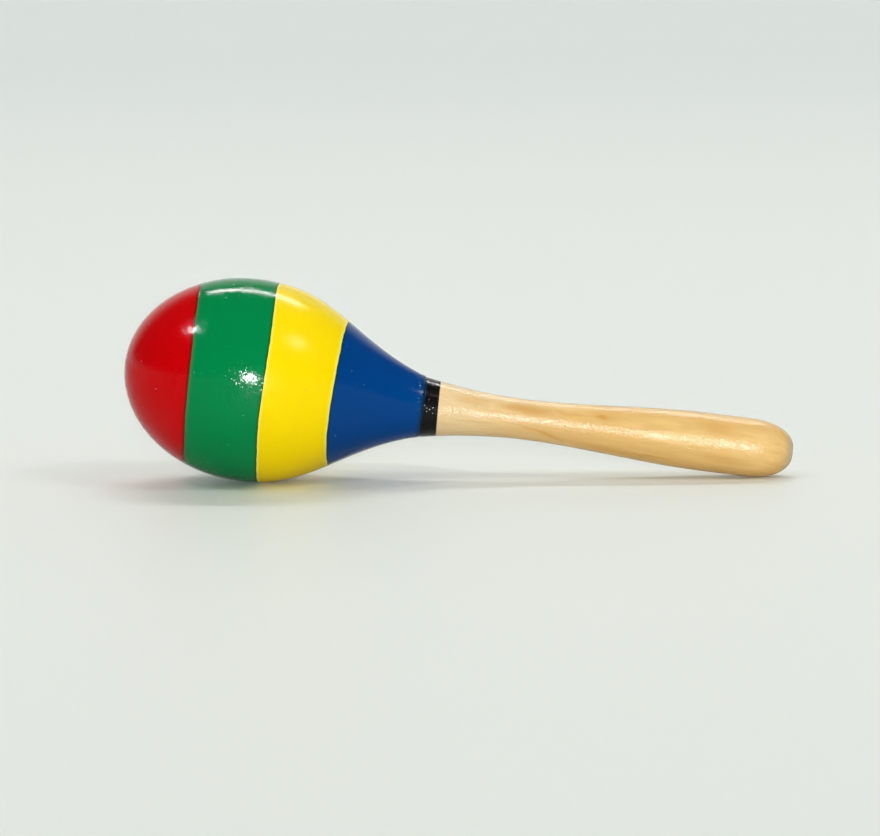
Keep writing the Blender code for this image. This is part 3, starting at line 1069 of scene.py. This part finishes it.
plain = mix_colours(tree, ramp(tree, along, *RIPENING), CREAM, HONEY)
figured = mix_colours(tree, golden, plain, GOLD)
# the colour turns greyer over the last few millimetres towards the butt
wood = mix_colours(tree, ramp(tree, along, *END_RISE), figured, BUTT_GREY)
fibrous = shaded(tree, wood, ramp(tree, fibres, *FIBRE_SHADE))
in_black = paint_edge(tree, spot, height=-0.00470, lean=0.030, swing=-0.015, waver=0.0002)[0]
in_blue = paint_edge(tree, spot, height=-0.00028, lean=-0.020)[0]
band = mix_colours(tree, in_blue, BLACK, DARK_BLUE)
feed(tree, shader.inputs["Base Color"], mix_colours(tree, in_black, fibrous, band))
print("wood and band on", lacquer.name)

# %% Skin of the lacquer
FIBRE_HEIGHT = 0.3
LACQUER_DEPTH = 0.000072

wood_skin = paint_skin(tree, spot, peel_scale=2100.0, peel=1.8, brush=0.05, pimples=0.7)[0]
band_skin = paint_skin(tree, spot, peel_scale=1500.0, peel=0.4, brush=0.10, pimples=1.2)[0]
pebble = calc(tree, "MULTIPLY_ADD", fibres, FIBRE_HEIGHT, wood_skin)
relief(tree, shader, mix_values(tree, in_black, pebble, band_skin), LACQUER_DEPTH)
print("lacquer skin on", lacquer.name)

# %% [markdown]
# ## Bare wood and steel
#
# Inside the head and on the spigot the wood is raw, dull and paler. It could share the lacquer's
# material with a mask, but a finish of its own, on the same grain group, is simpler. The shot is plain
# steel with the small dents that balls get from each other, too small to model.

# %% Bare wood
RAW_PALE = (0.740, 0.570, 0.360, 1.0)
RAW_DARK = (0.580, 0.400, 0.220, 1.0)
RAW_ROUGHNESS = (0.2, 0.8, 0.65, 0.85)      # fibre value from and to, roughness from and to
RAW_DEPTH = 0.00003

raw_wood, tree, shader = new_finish("bare_wood", roughness=0.75, ior=1.45)
spot = on_axis(tree, head_axis)
streaks, fibres = wood_grain(tree, spot, slant=0.05, pith_x=0.010, pith_y=0.050,
                             ring_width=0.0035, bend=1.0)
grain = calc(tree, "MULTIPLY", calc(tree, "ADD", streaks, fibres), 0.5)
feed(tree, shader.inputs["Base Color"], mix_colours(tree, grain, RAW_PALE, RAW_DARK))
feed(tree, shader.inputs["Roughness"], ramp(tree, fibres, *RAW_ROUGHNESS))
relief(tree, shader, fibres, RAW_DEPTH)
print("made", raw_wood.name)

# %% Steel
STEEL = (0.560, 0.560, 0.570, 1.0)
STEEL_DULL = (0.400, 0.390, 0.380, 1.0)
TARNISH_SCALE = 900.0
TARNISH_DETAIL = 3.0
TARNISH = (0.45, 0.65)
STEEL_ROUGHNESS = (0.3, 0.7, 0.22, 0.42)    # tarnish from and to, roughness from and to
DENT_SCALE = 1600.0
DENT_DETAIL = 1.0
DENT_DEPTH = 0.00002

steel, tree, shader = new_finish("steel", roughness=0.3, ior=1.45)
shader.inputs["Metallic"].default_value = 1.0
spot = tree.nodes.new("ShaderNodeTexCoord").outputs["Object"]
tarnish = noise(tree, spot, TARNISH_SCALE, TARNISH_DETAIL)
dull = ramp(tree, tarnish, *TARNISH)
feed(tree, shader.inputs["Base Color"], mix_colours(tree, dull, STEEL, STEEL_DULL))
feed(tree, shader.inputs["Roughness"], ramp(tree, tarnish, *STEEL_ROUGHNESS))
relief(tree, shader, noise(tree, spot, DENT_SCALE, DENT_DETAIL), DENT_DEPTH)
print("made", steel.name)

# %% [markdown]
# ## Finishes on their faces
#
# Paint and lacquer lie only on what a brush could reach after gluing. Every face that lies well inside
# the outline of the head is bare wood, and so is the handle's spigot. The faces could be picked by hand
# in edit mode, but a test of their place finds them all.

# %% Give each face its finish
SKIN_DEPTH = 0.0002


def dress(piece, finish, axis, is_raw):
    """Two finishes on a turned piece: raw wood where the test says so, the other finish elsewhere."""
    piece.data.materials.clear()
    piece.data.materials.append(finish)
    piece.data.materials.append(raw_wood)
    to_axis = axis.inverted()
    raw_count = 0
    for face in piece.data.polygons:
        place = to_axis @ face.center
        radius = math.hypot(place.x, place.y)
        face.material_index = int(is_raw(radius, place.z))
        raw_count += face.material_index
    print(piece.name, "has", raw_count, "raw faces of", len(piece.data.polygons))


def inside_head(radius, height):
    return radius < outside(station_at(outside, round(height, 6)))[0] - SKIN_DEPTH - RIM_EASE


def on_spigot(radius, height):
    return height > -SEAT_GAP - SKIN_DEPTH and radius < NECK_RADIUS - 2 * SHOULDER_EASE


dress(crown, enamel, head_axis, inside_head)
dress(neck, enamel, head_axis, inside_head)
dress(handle, lacquer, handle_axis, on_spigot)
for copy in shot.values():
    copy.data.materials.clear()
    copy.data.materials.append(steel)

# %% [markdown]
# ## Fasten the pieces to the model
#
# Each new piece rides on a body of the working model and stands for one of its nodes. Parenting by hand
# could move it too, but these calls also hide the node that it stands for. The head and the handle are
# one body. Each ball is a body by itself, because it can be thrown across the hollow.

# %% Ride and replace
turned_pieces = (
    (crown, "crown_shell", "crown_paint"),
    (neck, "neck_shell", "neck_paint"),
    (handle, "handle", "handle_wood"),
)
for piece, node_name, slot_name in turned_pieces:
    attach(piece, "maraca")
    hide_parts(node_name)
for node_name, copy in shot.items():
    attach(copy, node_name)
    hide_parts(node_name)
